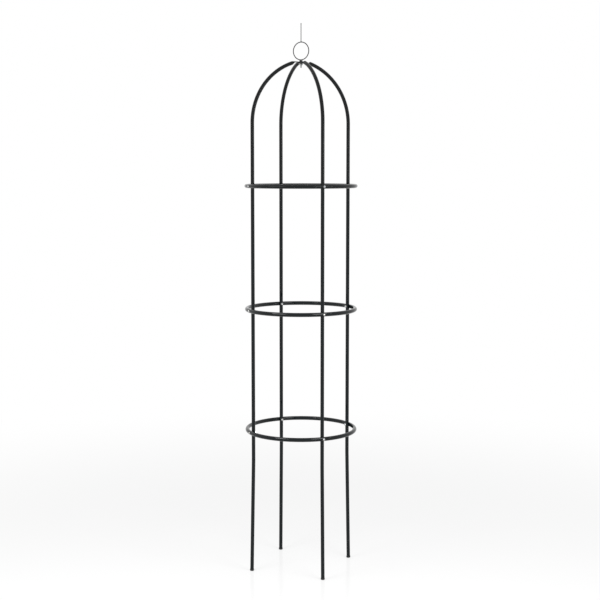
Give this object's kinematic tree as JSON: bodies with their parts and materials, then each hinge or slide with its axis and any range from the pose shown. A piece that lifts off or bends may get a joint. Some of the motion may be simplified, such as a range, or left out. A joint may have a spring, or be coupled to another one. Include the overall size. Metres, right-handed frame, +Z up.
{
  "type": "garden obelisk",
  "caption": "Tall round garden obelisk of push-fit coated steel tube with bolted rings, an arched top and a wire hoop finial, for climbing plants.",
  "frame": {"origin": "on the ground, under the obelisk's vertical axis", "axes": "+Z up along the axis; the finial hoop stands 7 degrees off the X-Z plane; -Y is the front and +X the right side; the legs stand at 45 degrees to both"},
  "size_m": [0.3919, 0.3918, 1.9],
  "materials": {
    "coated_steel": "gloss",
    "finial_wire": "gloss",
    "plated_fasteners": "zinc plated",
    "foot_plastic": "matt"
  },
  "bodies": {
    "root": {"arch_back_right": "coated_steel", "upper_leg_back_right": "coated_steel", "middle_leg_back_right": "coated_steel", "lower_leg_back_right": "coated_steel", "foot_plug_back_right": "foot_plastic", "arch_back_left": "coated_steel", "upper_leg_back_left": "coated_steel", "middle_leg_back_left": "coated_steel", "lower_leg_back_left": "coated_steel", "foot_plug_back_left": "foot_plastic", "arch_front_left": "coated_steel", "upper_leg_front_left": "coated_steel", "middle_leg_front_left": "coated_steel", "lower_leg_front_left": "coated_steel", "foot_plug_front_left": "foot_plastic", "arch_front_right": "coated_steel", "upper_leg_front_right": "coated_steel", "middle_leg_front_right": "coated_steel", "lower_leg_front_right": "coated_steel", "foot_plug_front_right": "foot_plastic", "top_ring": "coated_steel", "top_ring_bolts": "plated_fasteners", "top_ring_nuts": "plated_fasteners", "middle_ring": "coated_steel", "middle_ring_bolts": "plated_fasteners", "middle_ring_nuts": "plated_fasteners", "bottom_ring": "coated_steel", "bottom_ring_bolts": "plated_fasteners", "bottom_ring_nuts": "plated_fasteners", "finial_stud": "plated_fasteners", "finial_end_nut": "plated_fasteners", "finial_lock_nut": "finial_wire", "finial_hoop": "finial_wire", "finial_spike": "finial_wire", "finial_bead": "plated_fasteners"}
  },
  "joints": []
}
